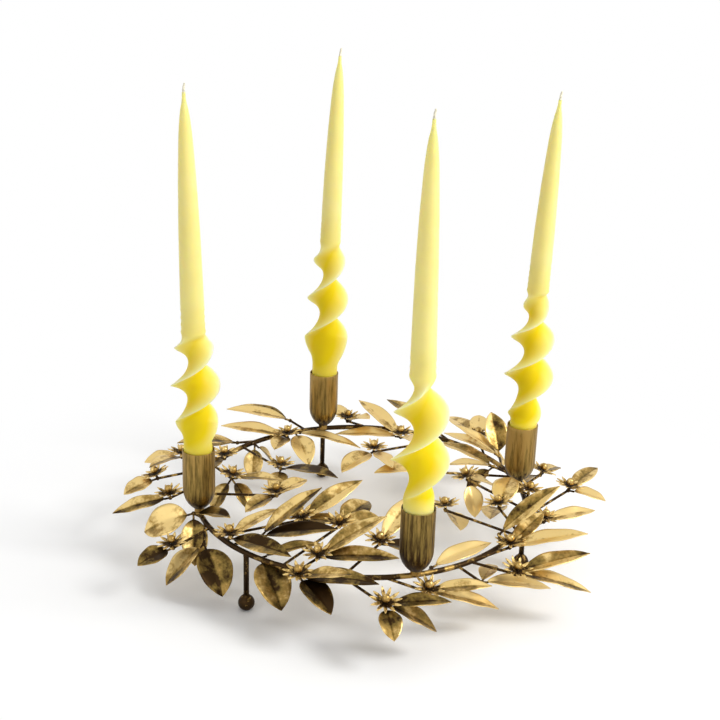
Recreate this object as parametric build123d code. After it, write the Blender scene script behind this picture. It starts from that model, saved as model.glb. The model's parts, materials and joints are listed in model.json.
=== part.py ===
from build123d import *
import os
from collections import namedtuple
from functools import cache
from math import cos, degrees, radians, sin, sqrt, tan

# Advent candle holder: a ring of brass rod on three ball feet, dressed with four sprays of brass
# leaves and star blossoms, with four candle cups and four twisted taper candles.
# Millimetres, +Z up. The origin lies on the floor under the middle of the ring.

# Ring, legs and feet
RING_RADIUS = 127.0  # centre line of the rod
RING_ROD = 4.0
RING_HEIGHT = 45.5  # centre line over the floor
LEG_ROD = 4.0
LEG_SOCKET = 5.0  # how deep a leg stands in its ball
LEG_ANGLES = {"back": 90.0, "left": 215.0, "right": 332.0}
FOOT_BALL = 12.0
FOOT_FLAT = 5.0  # ground flat under each ball

# Candle cups, spun from thin sheet
CUP_ANGLES = {"left": 182.0, "front": 272.0, "right": 356.0, "back": 90.0}
CUP_OUTSIDE = 24.0
CUP_WALL = 0.7
CUP_HEIGHT = 48.0
CUP_NOSE = 16.0  # height of the rounded lower end
CUP_FOOT = 8.0  # flat under the nose, and the neck that it stands on
CUP_FLOOR = 1.0
NECK_HEIGHT = 4.0  # from the ring's centre line up to the cup

# Candles
CANDLE_PLAY = 0.7  # gap all round in the cup
CANDLE_SEAT = 0.6  # gap where the candle's lower edge meets the nose of the cup
CANDLE_STEM = 18.5  # diameter where the straight part starts
CANDLE_NECK = 11.5  # diameter where the pointed end starts
CANDLE_TIP = 4.0
CANDLE_POINT = 30.0  # length of the pointed end
CANDLE_COLLAR = 1.0  # round part that shows over the rim of the cup
CANDLE_SHOULDER = 17.0  # height over which the blade turns round again
BLADE_WIDTH = 36.0  # the part that is pressed flat
BLADE_THICK = 12.0
BLADE_HEADING = 164.0
WICK = 1.8
WICK_GAP = 0.1
WICK_INSIDE = 24.0
WICK_OUTSIDE = 6.0

# Each candle: length seen over the cup, a height over the rim where the blade lies along its heading,
# the rise of a half turn, heights where the blade starts and ends, its lean and which way
Candle = namedtuple("Candle", "shows square_at half_turn starts ends lean toward")
CANDLES = {
    "left": Candle(267.0, 52.0, 30.0, 13.0, 73.0, 1.3, 164.0),
    "front": Candle(270.0, 73.0, 35.0, 14.0, 86.0, 0.9, 164.0),
    "right": Candle(259.0, 76.0, 31.0, 12.0, 90.0, 1.5, 344.0),
    "back": Candle(271.0, 69.0, 34.0, 14.0, 98.0, 1.2, 344.0),
}

# Leaf stamps: length along the crease, width, how far from the tail it is widest, radius of its arch
Stamp = namedtuple("Stamp", "length width belly arch")
LANCE = Stamp(52.0, 15.5, 22.0, 190.0)
SPEAR = Stamp(40.0, 13.5, 16.0, 160.0)
OVAL = Stamp(35.0, 20.0, 15.0, 100.0)
BROAD = Stamp(38.0, 26.0, 16.0, 110.0)
BUD = Stamp(25.0, 16.0, 10.0, 80.0)
LEAF_SHEET = 0.8
LEAF_FOLD = 14.0  # each half rises this much from the crease
LEAF_TAIL = 2.4  # width where the leaf meets its wire

# Blossoms
BLOSSOM_PETALS = 11
BLOSSOM_RADIUS = 10.0
BLOSSOM_EYE = 3.4  # radius of the flat middle
BLOSSOM_RISE = 3.0  # height of the petal tips over the middle
BLOSSOM_SHEET = 0.7
PETAL_WIDTH = 3.4
PETAL_BELLY = 7.2  # radius where a petal is widest
PETAL_ROOT = 1.6  # width of a petal in the middle of the blossom
BEAD = 6.0
BEAD_FLAT = 3.0

# Wires
TWIG_WIRE = 2.0
LEAF_WIRE = 1.6
KNOT = 3.2  # bead of solder where the wires meet
LEAF_REACH = 5.0  # from the knot to the leaf's tail
BLOSSOM_REACH = 4.6  # from the knot to the blossom

# A leaf: its stamp, its heading from the run of the ring (outward is plus), the rise of its chord
# and its roll about the crease
Leaf = namedtuple("Leaf", "stamp heading rise roll", defaults=(0.0,))
# A sprig: degrees ahead of its cup, how far the knot lies outside and above the ring's centre line,
# degrees that its wire starts behind the knot, outward lean of the blossom (None for no blossom), leaves
Sprig = namedtuple("Sprig", "ahead out up behind lean leaves")

SPRAYS = {
    "left": [
        Sprig(3, 6, 3, -1, None, [Leaf(OVAL, 12, -50), Leaf(BUD, -52, 2), Leaf(BROAD, 112, -30, -35)]),
        Sprig(15, 8, -8, 8, None, [Leaf(OVAL, 86, -40), Leaf(BROAD, 4, -38)]),
        Sprig(13, 30, -8, 1, 10, [Leaf(BUD, 80, -12, -15)]),
        Sprig(23, -3, 2, 1, 0, [Leaf(LANCE, -12, 3, 20), Leaf(SPEAR, -92, 10)]),
        Sprig(30, -20, 3, 4, None, [Leaf(LANCE, -36, 9, 15), Leaf(LANCE, -56, 36, 15)]),
        Sprig(37, -52, 8, 18.5, 15, [Leaf(LANCE, -68, 18, 20), Leaf(BUD, -28, -4)]),
        Sprig(54, 6, -2, 12, 10, [Leaf(SPEAR, 12, 18, 10), Leaf(LANCE, -4, 3, 15), Leaf(OVAL, 34, -16)]),
        Sprig(37, -5, -3, 1, None, [Leaf(BROAD, 26, -34), Leaf(SPEAR, -40, 13)]),
        Sprig(57, -16, 3, 4, 10, [Leaf(LANCE, -14, 0, 15), Leaf(LANCE, -36, 24, 10)]),
        Sprig(60, -54, 9, 13, 10, [Leaf(OVAL, -68, 4, 10), Leaf(BUD, -18, 10, 15)]),
        Sprig(81, -36, 6, 14, 10, [Leaf(LANCE, -52, 14, 15), Leaf(BUD, 20, -8)]),
        Sprig(79, 25, -7, 12, 20, [Leaf(BUD, 84, -22), Leaf(OVAL, 10, -29), Leaf(SPEAR, 5, 3, 10)]),
    ],
    "front": [
        Sprig(7, -7, -1, 3, None, [Leaf(LANCE, -12, 1, 10)]),
        Sprig(2, 13, -7, 12, 15, [Leaf(LANCE, 6, -22, 10), Leaf(SPEAR, 14, 3, 10)]),
        Sprig(19, 16, -8, 4, None, [Leaf(LANCE, 18, -16, 10), Leaf(SPEAR, -36, -14)]),
        Sprig(35, 8, 2, 14, 2, [Leaf(LANCE, 58, 14, 10), Leaf(SPEAR, 4, 14, 10)]),
        Sprig(28, 26, -5, 8, 15, [Leaf(LANCE, 32, 9, 10), Leaf(LANCE, 44, -16, 5)]),
        Sprig(39, -6, 4, 4, None, [Leaf(LANCE, 47, 38, 20)]),
        Sprig(55, 16, 3, 12, 10, [Leaf(SPEAR, 50, 0, 10)]),
        Sprig(74, 34, 6, 16, 10, [Leaf(SPEAR, 42, 4, 10), Leaf(BUD, 104, -12)]),
        Sprig(37, -50, 11, -8, -10, [Leaf(OVAL, -4, -48)]),
        Sprig(78, -44, 11, 14, -20, [Leaf(OVAL, 57, -30), Leaf(BUD, 164, -58)]),
        Sprig(54, -18, 9, 6, -10, [Leaf(OVAL, 0, 10), Leaf(OVAL, -23, -42)]),
        Sprig(71, 2, 6, 6, 10, [Leaf(BUD, -70, -10)]),
    ],
    "right": [
        Sprig(2, 20, 4, 5, 20, [Leaf(BUD, -8, -41), Leaf(BUD, 50, -10)]),
        Sprig(35, 16, 3, 10, 0, [Leaf(LANCE, 22, -4, -5), Leaf(OVAL, 115, -50), Leaf(BUD, 52, 16)]),
        Sprig(15, -7, 1, 6, None, [Leaf(LANCE, -22, 2), Leaf(BUD, -90, -40), Leaf(SPEAR, -92, 12)]),
        Sprig(22, 10, 0, 8, None, [Leaf(LANCE, -18, 3), Leaf(OVAL, 20, 44), Leaf(SPEAR, -39, 28)]),
        Sprig(61, -18, 2, 14, 0, [Leaf(LANCE, 30, 15, -5), Leaf(LANCE, -8, -5, -5), Leaf(SPEAR, -116, 19)]),
        Sprig(52, 12, 1, 10, 0, [Leaf(LANCE, 16, 10, -5), Leaf(SPEAR, 58, -8)]),
        Sprig(84, 8, 2, 8, 0, [Leaf(BUD, 62, 4), Leaf(BUD, -128, 20)]),
        Sprig(70, -62, 6, 25, 0, [Leaf(OVAL, -58, -9), Leaf(SPEAR, -118, 6)]),
        Sprig(18, -70, 7, 12, 0, [Leaf(OVAL, -60, -6), Leaf(SPEAR, -14, -18)]),
    ],
    "back": [
        Sprig(17, -9, 1, 1, 0, [Leaf(LANCE, 34, 6, -10), Leaf(BUD, -40, 0)]),
        Sprig(13, -8, 3, 2, None, [Leaf(OVAL, -82, -22), Leaf(LANCE, -147, -12)]),
        Sprig(36, 6, 2, 8, None, [Leaf(LANCE, 16, 12, -10), Leaf(SPEAR, 48, -8, -10)]),
        Sprig(50, -56, 5, 14, 0, [Leaf(LANCE, -80, 8), Leaf(BUD, -20, -20)]),
        Sprig(67, -24, 3, 12, -10, [Leaf(BUD, 35, -50), Leaf(BUD, -60, -50), Leaf(SPEAR, -80, 6)]),
        Sprig(54, -9, 7, 8, 0, [Leaf(LANCE, 4, 4, -10)]),
        Sprig(71, 33, 3, 14, 20, [Leaf(BUD, 50, -15, -10)]),
        Sprig(81, 20, 0, 10, 10, [Leaf(SPEAR, 78, -12, -20)]),
        Sprig(60, 22, 9, 12, 0, [Leaf(BUD, 64, -8, -10), Leaf(SPEAR, 12, 10)]),
        Sprig(96, -58, 9, 18, 5, [Leaf(BUD, -110, 6), Leaf(BUD, 70, -12)]),
        Sprig(33, -8, 3, 2, None, [Leaf(BUD, -40, -56), Leaf(BUD, -146, -56)]),
        Sprig(11, 13, 5, 4, None, [Leaf(LANCE, 52, -1, -10), Leaf(LANCE, 12, 13, -10)]),
    ],
}


def polar(angle, radius, height):
    """A point by its angle round the ring, its radius and its height."""
    return Vector(radius * cos(radians(angle)), radius * sin(radians(angle)), height)


def rod(start, end, diameter):
    """A straight round wire from one point to another."""
    run = end - start
    standing = (Align.CENTER, Align.CENTER, Align.MIN)
    return Plane(start, z_dir=run) * Cylinder(diameter / 2, run.length, align=standing)


def ring_rod():
    """The closed ring that carries everything."""
    return Pos(0, 0, RING_HEIGHT) * Torus(RING_RADIUS, RING_ROD / 2)


RING = ring_rod()
FOOT_CENTRE = sqrt((FOOT_BALL / 2) ** 2 - (FOOT_FLAT / 2) ** 2)
LEG_END = FOOT_CENTRE + FOOT_BALL / 2 - LEG_SOCKET


def leg(angle):
    """A leg rod, from the socket in its ball up to the ring, shaped to the ring at its top."""
    return rod(polar(angle, RING_RADIUS, LEG_END), polar(angle, RING_RADIUS, RING_HEIGHT), LEG_ROD) - RING


def ball_foot(angle):
    """A ball foot with a ground flat below and a drilled socket above."""
    ball = Pos(polar(angle, RING_RADIUS, FOOT_CENTRE)) * Sphere(FOOT_BALL / 2)
    floor = Plane(polar(angle, RING_RADIUS, 0))
    return split(ball, floor, keep=Keep.TOP) - rod(
        polar(angle, RING_RADIUS, LEG_END), polar(angle, RING_RADIUS, FOOT_BALL), LEG_ROD)


CUP_BASE = RING_HEIGHT + NECK_HEIGHT
CUP_RIM = CUP_BASE + CUP_HEIGHT
NOSE_IN = (CUP_OUTSIDE - CUP_FOOT) / 2
NOSE_RADIUS = (NOSE_IN**2 + CUP_NOSE**2) / (2 * NOSE_IN)
NOSE_AXIS = CUP_OUTSIDE / 2 - NOSE_RADIUS


def nose_height(radius, offset):
    """Height on the nose where it has this radius, offset inward from the outside."""
    return CUP_NOSE - sqrt((NOSE_RADIUS - offset) ** 2 - (radius - NOSE_AXIS) ** 2)


def nose_width(height, offset):
    """Radius of the nose at this height, offset inward from the outside."""
    return NOSE_AXIS + sqrt((NOSE_RADIUS - offset) ** 2 - (CUP_NOSE - height) ** 2)


def cup_body(offset, base, top):
    """The cup's bullet form, offset inward, from one height to another."""
    start = (nose_width(base, offset), base)
    belly = (CUP_OUTSIDE / 2 - offset, CUP_NOSE)
    middle = (base + CUP_NOSE) / 2
    outline = [
        Line((0, base), start),
        ThreePointArc(start, (nose_width(middle, offset), middle), belly),
        Line(belly, (belly[0], top)),
        Line((belly[0], top), (0, top)),
        Line((0, top), (0, base)),
    ]
    return revolve(Plane.XZ * make_face(outline), Axis.Z)


def candle_cup(angle):
    """A thin cup with a bullet nose."""
    shell = cup_body(0, 0, CUP_HEIGHT) - cup_body(CUP_WALL, CUP_FLOOR, CUP_HEIGHT + CUP_WALL)
    return Pos(polar(angle, RING_RADIUS, CUP_BASE)) * shell


def cup_neck(angle):
    """The short neck that seats a cup on the ring."""
    return rod(polar(angle, RING_RADIUS, RING_HEIGHT), polar(angle, RING_RADIUS, CUP_BASE), CUP_FOOT) - RING


CANDLE_BASE = CUP_OUTSIDE - 2 * CUP_WALL - 2 * CANDLE_PLAY
SEAT_HEIGHT = nose_height(CANDLE_BASE / 2 + CANDLE_SEAT, CUP_WALL)
CANDLE_DEPTH = CUP_HEIGHT - SEAT_HEIGHT


def candle_plane(side):
    """The candle's own frame: its lower end at the seat, leaning about the middle of the socket."""
    spec = CANDLES[side]
    axis = polar(spec.toward, sin(radians(spec.lean)), cos(radians(spec.lean)))
    pivot = polar(CUP_ANGLES[side], RING_RADIUS, CUP_RIM - CANDLE_DEPTH / 2)
    return Plane(pivot - axis * (CANDLE_DEPTH / 2), x_dir=Vector(axis.Z, 0, -axis.X), z_dir=axis)


def wax_section(height, width, thick, heading):
    """One oval section of the candle, in four quarters, with its long way along the heading."""
    quarters = [
        EllipticalCenterArc((0, 0), width / 2, thick / 2, start_angle=start, arc_size=90)
        for start in (0, 90, 180, 270)
    ]
    return Pos(0, 0, height) * Rot(0, 0, heading) * make_face(quarters)


def blade_heading(spec, height):
    """Which way the twisted blade lies at a height over the rim."""
    return BLADE_HEADING + 180 * (height - spec.square_at) / spec.half_turn


def candle(side):
    """A taper whose lower part is pressed flat and twisted, with a bore for its wick."""
    spec = CANDLES[side]
    length = CANDLE_DEPTH + spec.shows - WICK_OUTSIDE
    first = blade_heading(spec, spec.starts)
    last = blade_heading(spec, spec.ends)
    start = CANDLE_DEPTH + spec.starts
    end = CANDLE_DEPTH + spec.ends
    collar = wax_section(CANDLE_DEPTH + CANDLE_COLLAR, CANDLE_BASE, CANDLE_BASE, first)
    flat = wax_section(start, BLADE_WIDTH, BLADE_THICK, first)
    turned = wax_section(end, BLADE_WIDTH, BLADE_THICK, last)
    stem = wax_section(end + CANDLE_SHOULDER, CANDLE_STEM, CANDLE_STEM, last)
    neck = wax_section(length - CANDLE_POINT, CANDLE_NECK, CANDLE_NECK, last)
    tip = wax_section(length, CANDLE_TIP, CANDLE_TIP, last)
    blade = Solid.extrude_linear_with_rotation(
        flat.face().outer_wire(), (0, 0, start), (0, 0, end - start), last - first)
    base = loft([wax_section(0, CANDLE_BASE, CANDLE_BASE, first), collar])
    wax = base.fuse(loft([collar, flat]), blade, loft([turned, stem]), loft([stem, neck]), loft([neck, tip]))
    bore = rod(Vector(0, 0, length - WICK_INSIDE), Vector(0, 0, length + CANDLE_TIP), WICK + 2 * WICK_GAP)
    return candle_plane(side) * (wax - bore)


def wick(side):
    """The end of a candle's wick, standing on the floor of its bore."""
    length = CANDLE_DEPTH + CANDLES[side].shows
    start = length - WICK_OUTSIDE - WICK_INSIDE
    return candle_plane(side) * rod(Vector(0, 0, start), Vector(0, 0, length), WICK)


def pointed_outline(start, end, belly, width, tail):
    """Half of a leaf or petal outline on each side: two arcs that meet at its widest place."""
    sides = []
    for side in (1, -1):
        wide = (belly, side * width / 2)
        sides.append(TangentArc(wide, (end, 0), tangent=(1, 0)))
        sides.append(TangentArc(wide, (start, side * tail / 2), tangent=(-1, 0)))
    return make_face([*sides, Line((start, tail / 2), (start, -tail / 2))])


def stamp_turn(stamp):
    """Degrees that a leaf bends along its length."""
    return degrees(stamp.length / stamp.arch)


@cache
def stamped_leaf(stamp):
    """A leaf with its tail at the origin and its crease along +X, folded up beside it and arched down."""
    reach = stamp.arch * sin(radians(stamp_turn(stamp)))
    rise = tan(radians(LEAF_FOLD)) * stamp.width
    half = [(0, 0), (stamp.width, rise), (stamp.width, rise + LEAF_SHEET), (0, LEAF_SHEET)]
    mirrored = [(-across, height) for across, height in reversed(half[1:3])]
    sheet = Plane.YZ * make_face(Polyline(*half, *mirrored, close=True))
    bend = Axis((0, 0, -stamp.arch), (0, 1, 0))
    bent = revolve(sheet, bend, stamp_turn(stamp) + LEAF_FOLD)
    outline = pointed_outline(0, reach, stamp.belly, stamp.width, LEAF_TAIL)
    depth = stamp.arch / 2
    return bent & Pos(0, 0, -depth) * extrude(outline, 2 * depth)


@cache
def star_blossom():
    """A blossom cut from sheet, its petals dished up round a flat middle that lies on the origin."""
    petal = pointed_outline(0, BLOSSOM_RADIUS, PETAL_BELLY, PETAL_WIDTH, PETAL_ROOT)
    star = Circle(BLOSSOM_EYE)
    for number in range(BLOSSOM_PETALS):
        star += Rot(0, 0, 360 * number / BLOSSOM_PETALS) * petal
    run = BLOSSOM_RADIUS - BLOSSOM_EYE
    bend = (run**2 + BLOSSOM_RISE**2) / (2 * BLOSSOM_RISE)
    below = TangentArc((BLOSSOM_EYE, 0), (BLOSSOM_RADIUS, BLOSSOM_RISE), tangent=(1, 0))
    inside = bend - BLOSSOM_SHEET
    lift = bend - sqrt(inside**2 - run**2)
    above = TangentArc((BLOSSOM_EYE, BLOSSOM_SHEET), (BLOSSOM_RADIUS, lift), tangent=(1, 0))
    outline = [
        Line((0, 0), (BLOSSOM_EYE, 0)),
        below,
        Line((BLOSSOM_RADIUS, BLOSSOM_RISE), (BLOSSOM_RADIUS, lift)),
        above,
        Line((BLOSSOM_EYE, BLOSSOM_SHEET), (0, BLOSSOM_SHEET)),
        Line((0, BLOSSOM_SHEET), (0, 0)),
    ]
    dish = revolve(Plane.XZ * make_face(outline), Axis.Z)
    return dish & extrude(star, 2 * BLOSSOM_RISE)


@cache
def blossom_bead():
    """The bead in a blossom, with the flat that it stands on at the origin."""
    centre = sqrt((BEAD / 2) ** 2 - (BEAD_FLAT / 2) ** 2)
    return split(Pos(0, 0, centre) * Sphere(BEAD / 2), Plane.XY, keep=Keep.TOP)


def sprig_knot(angle, sprig):
    """Where a sprig's wires meet."""
    return polar(angle, RING_RADIUS + sprig.out, RING_HEIGHT + sprig.up)


def bearing(angle, heading, rise):
    """A direction by its heading from the run of the ring and its rise."""
    level = polar(angle + 90 - heading, cos(radians(rise)), 0)
    return level + Vector(0, 0, sin(radians(rise)))


def leaf_plane(angle, sprig, leaf):
    """The frame of a leaf: its tail, the way its wire runs, and its upper face."""
    along = bearing(angle, leaf.heading, leaf.rise + stamp_turn(leaf.stamp) / 2)
    upward = bearing(angle, leaf.heading, leaf.rise + stamp_turn(leaf.stamp) / 2 + 90)
    tail = sprig_knot(angle, sprig) + along * LEAF_REACH
    return Plane(tail, x_dir=along, z_dir=upward.rotate(Axis((0, 0, 0), along), leaf.roll))


def blossom_plane(angle, sprig):
    """The frame of a blossom: the end of its stalk and the way that it faces."""
    facing = bearing(angle, 90, 90 - sprig.lean)
    return Plane(sprig_knot(angle, sprig) + facing * BLOSSOM_REACH, z_dir=facing)


def twig(angle, sprig):
    """The soldered wires of one sprig: from the ring to the knot, and on to its leaves and blossom."""
    knot = sprig_knot(angle, sprig)
    root = polar(angle - sprig.behind, RING_RADIUS, RING_HEIGHT)
    ends = [(leaf_plane(angle, sprig, leaf).origin, LEAF_WIRE) for leaf in sprig.leaves]
    if sprig.lean is not None:
        ends.append((blossom_plane(angle, sprig).origin, TWIG_WIRE))
    inset = KNOT / 4
    wires = [rod(knot + (end - knot).normalized() * inset, end, wire) for end, wire in ends]
    stem = rod(root, knot + (root - knot).normalized() * inset, TWIG_WIRE) - RING
    solder = Plane(knot, z_dir=knot - root) * Sphere(KNOT / 2)
    return solder.fuse(stem, *wires)


def spray(side):
    """Every piece of one spray, by kind."""
    pieces = {"twigs": [], "lance_leaves": [], "oval_leaves": [], "blossoms": [], "blossom_beads": []}
    for sprig in SPRAYS[side]:
        angle = CUP_ANGLES[side] + sprig.ahead
        pieces["twigs"].append(twig(angle, sprig))
        for leaf in sprig.leaves:
            kind = "lance_leaves" if leaf.stamp in (LANCE, SPEAR) else "oval_leaves"
            pieces[kind].append(leaf_plane(angle, sprig, leaf) * stamped_leaf(leaf.stamp))
        if sprig.lean is not None:
            plane = blossom_plane(angle, sprig)
            pieces["blossoms"].append(plane * star_blossom())
            pieces["blossom_beads"].append(plane * Pos(0, 0, BLOSSOM_SHEET) * blossom_bead())
    return pieces


def write(name, *solids):
    """Write one node, as one solid or as a group of separate solids."""
    group = [piece for solid in solids for piece in solid.solids()]
    export_step(group[0] if len(group) == 1 else Compound(group), f"parts/{name}.step")


def main():
    os.makedirs("parts", exist_ok=True)
    write("ring_rod", RING)
    for side, angle in LEG_ANGLES.items():
        write(f"{side}_leg_rod", leg(angle))
        write(f"{side}_ball_foot", ball_foot(angle))
    for side, angle in CUP_ANGLES.items():
        write(f"{side}_candle_cup", candle_cup(angle))
        write(f"{side}_cup_neck", cup_neck(angle))
        write(f"{side}_candle", candle(side))
        write(f"{side}_wick", wick(side))
        for kind, solids in spray(side).items():
            write(f"{side}_{kind}", *solids)


main()
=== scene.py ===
import json
from math import cos, pi, radians, sin, sqrt, tau

import bmesh
import bpy
import numpy as np
from bpy.props import FloatProperty, FloatVectorProperty, IntProperty, PointerProperty
from mathutils import Matrix, Vector, noise


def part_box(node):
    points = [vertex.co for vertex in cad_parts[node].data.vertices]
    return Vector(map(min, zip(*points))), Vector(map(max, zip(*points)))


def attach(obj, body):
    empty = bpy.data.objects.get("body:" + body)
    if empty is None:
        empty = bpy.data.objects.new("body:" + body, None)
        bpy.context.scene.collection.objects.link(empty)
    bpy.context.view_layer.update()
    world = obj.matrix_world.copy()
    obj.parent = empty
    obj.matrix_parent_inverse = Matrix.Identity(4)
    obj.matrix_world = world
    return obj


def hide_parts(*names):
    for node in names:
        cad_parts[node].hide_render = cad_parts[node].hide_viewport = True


bl_info = {
    "name": "Advent Candle Holder",
    "version": (1, 0, 0),
    "blender": (4, 5, 0),
    "location": "3D View > Sidebar > Candle Holder",
    "description": "Dresses a brass leaf wreath with its cups and twisted taper candles",
    "category": "Object",
}

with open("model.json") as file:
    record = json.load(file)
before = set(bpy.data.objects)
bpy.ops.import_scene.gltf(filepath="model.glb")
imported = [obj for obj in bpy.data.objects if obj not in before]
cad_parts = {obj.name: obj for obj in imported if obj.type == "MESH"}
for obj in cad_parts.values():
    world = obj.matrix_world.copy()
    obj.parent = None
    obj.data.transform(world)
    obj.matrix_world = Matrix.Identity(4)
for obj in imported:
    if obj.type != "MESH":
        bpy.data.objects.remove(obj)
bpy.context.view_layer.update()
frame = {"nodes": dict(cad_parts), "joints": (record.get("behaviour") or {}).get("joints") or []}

MM = 0.001
SIDES = ("left", "front", "right", "back")
LEG_SIDES = ("back", "left", "right")
HOLDER = "holder"


def linear(hex_code):
    """A linear colour from an sRGB hex code."""
    parts = [int(hex_code[i:i + 2], 16) / 255 for i in (1, 3, 5)]
    return [c / 12.92 if c <= 0.04045 else ((c + 0.055) / 1.055) ** 2.4 for c in parts]


def colour(name, description, hex_code):
    """A colour that the user may change."""
    return FloatVectorProperty(
        name=name, description=description, default=linear(hex_code), subtype="COLOR", size=3, min=0, max=1)


def length(name, description, millimetres):
    """A length that the user may change, given in millimetres."""
    return FloatProperty(name=name, description=description, default=millimetres * MM, unit="LENGTH", min=0)


class HolderSizes(bpy.types.PropertyGroup):
    """Sizes that the solids leave open."""
    leaf_sheet: length("Leaf sheet", "Thickness of the brass a leaf is stamped from", 0.75)
    leaf_wave: length("Leaf wave", "How far a leaf's edge waves up and down", 0.45)
    leaf_crease: length("Leaf crease", "Width over which the crease of a leaf is rounded", 0.8)
    petal_sheet: length("Petal sheet", "Thickness of a petal", 0.6)
    petal_width: length("Petal width", "Width of a petal at its widest", 2.5)
    cup_wall: length("Cup wall", "Thickness of a cup at its rim", 0.7)
    solder: length("Solder", "How far a fillet of solder spreads at a joint", 1.2)
    seed: IntProperty(name="Seed", description="Start of the hand-made differences", default=7, min=0)


class HolderColours(bpy.types.PropertyGroup):
    """Colours of the metal, the wax and the stage."""
    brass_bright: colour("Bright brass", "Brass where hands and cloth have rubbed it", "#E8CB88")
    brass_aged: colour("Aged brass", "Brass in its even brown tone", "#AA8A4D")
    brass_olive: colour("Olive brass", "Greenish tone of old lacquer", "#836D3A")
    patina: colour("Patina", "Dark oxide in folds and corners", "#3B2B19")
    # Pale, rich and glowing wax are painted light on one yellow wax: a glow at thin edges with light behind
    # them, pale in the thin upper part, deep in the thick twist.
    wax_pale: colour("Pale wax", "Wax in the thin upper part", "#F3E795")
    wax_rich: colour("Rich wax", "Wax in the thick twist", "#EED600")
    wax_glow: colour("Glowing wax", "Wax at a thin edge with light behind it", "#FDF8CE")
    wick: colour("Wick", "Waxed cotton", "#F6EFD6")
    floor: colour("Floor", "Paper sweep under the holder", "#FAFAFA")


def settings():
    """The sizes and colours in use."""
    scene = bpy.context.scene
    return scene.holder_sizes, scene.holder_colours


# Node work

def add(tree, kind, inputs=None, **options):
    """Add a node, set its options, and give each input a value or a link."""
    made = tree.nodes.new("ShaderNode" + kind)
    for key, value in options.items():
        setattr(made, key, value)
    for key, value in (inputs or {}).items():
        if isinstance(value, bpy.types.NodeSocket):
            tree.links.new(value, made.inputs[key])
        else:
            made.inputs[key].default_value = value
    return made


def ramp(node, *stops):
    """Set the stops of a colour ramp: place and colour."""
    band = node.color_ramp
    while len(band.elements) < len(stops):
        band.elements.new(0.5)
    for element, (place, tone) in zip(band.elements, stops):
        element.position = place
        element.color = (*tone, 1)
    return node


def fresh(name):
    """An empty material with its output."""
    made = bpy.data.materials.new(name)
    made.use_nodes = True
    made.node_tree.nodes.clear()
    return made, made.node_tree, made.node_tree.nodes.new("ShaderNodeOutputMaterial")


def grey(value):
    """A grey for ramps that carry a number."""
    return (value, value, value)


def per_metre(millimetres):
    """Noise scale for a pattern whose features are this many millimetres apart."""
    return 1 / (millimetres * MM)


def multiply_add(tree, value, factor, extra):
    """A value times a factor, with something added."""
    return add(tree, "Math", {0: value, 1: factor, 2: extra}, operation="MULTIPLY_ADD").outputs[0]


def surface(tree, out, **inputs):
    """A principled surface, its inputs named with underscores for spaces."""
    named = {key.replace("_", " "): value for key, value in inputs.items()}
    shader = add(tree, "BsdfPrincipled", named)
    tree.links.new(shader.outputs["BSDF"], out.inputs["Surface"])


TONE_WEIGHT = 0.34  # how far the tone of a piece moves its brass from dark to bright; the tone holds painted light and shade as well as differences of the brass
SPECK_SHARE = 0.2  # share of fine specks in the clouds of oxide
SPECKS_IN_PATCH = 6  # fine specks across one cloud
SPECK_DULLING = 0.14  # how much rougher the darkest specks are


def aged_brass(name, lightest, deepest, patch_mm, dullness, tone_name="", drawn=1.0, shift=0.0, cloudy=1.0):
    """Brass darkened by hand and rubbed back: an even satin brown, cloudy patches of oxide where the
    liver of sulphur stayed, and gold where it was polished through. A piece's tone, where it has one, adds
    painted light and shade on top."""
    _, tones = settings()
    made, tree, out = fresh(name)
    place = add(tree, "TexCoord").outputs["Object"]
    place = add(tree, "Mapping", {"Vector": place, "Scale": (1, 1, 1 / drawn)}).outputs["Vector"]
    clouds = add(tree, "TexNoise", {
        "Vector": place, "Scale": per_metre(patch_mm), "Detail": 4, "Roughness": 0.54}).outputs["Fac"]
    specks = add(tree, "TexNoise", {
        "Vector": place, "Scale": per_metre(patch_mm / SPECKS_IN_PATCH), "Detail": 3}).outputs["Fac"]
    mixed = add(tree, "Mix", {"Factor": SPECK_SHARE, "A": clouds, "B": specks}, data_type="FLOAT").outputs[0]
    amount = multiply_add(tree, mixed, cloudy, 0.5 * (1 - cloudy) + shift)
    if tone_name:
        tone = add(tree, "Attribute", attribute_name=tone_name).outputs["Fac"]
        amount = multiply_add(tree, tone, TONE_WEIGHT, amount)
    paint = ramp(
        add(tree, "ValToRGB", {"Fac": amount}), (0.29, tones.patina), (0.40, deepest),
        (0.49, tones.brass_aged), (0.60, lightest), (0.75, tones.brass_bright))
    dull = ramp(
        add(tree, "ValToRGB", {"Fac": specks}), (0.3, grey(dullness + SPECK_DULLING)), (0.7, grey(dullness)))
    grain = add(tree, "Bump", {"Height": mixed, "Strength": 0.25, "Distance": 0.15 * MM})
    surface(tree, out, Base_Color=paint.outputs["Color"], Roughness=dull.outputs["Color"],
            Normal=grain.outputs["Normal"], Metallic=1.0)
    return made


WAX_CLOUD_MM = 22  # size of the slow changes of colour in the wax
WAX_DRIFT = 0.16  # how far they go
WAX_SKIN_MM = 5  # size of the ripples in its skin


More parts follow.
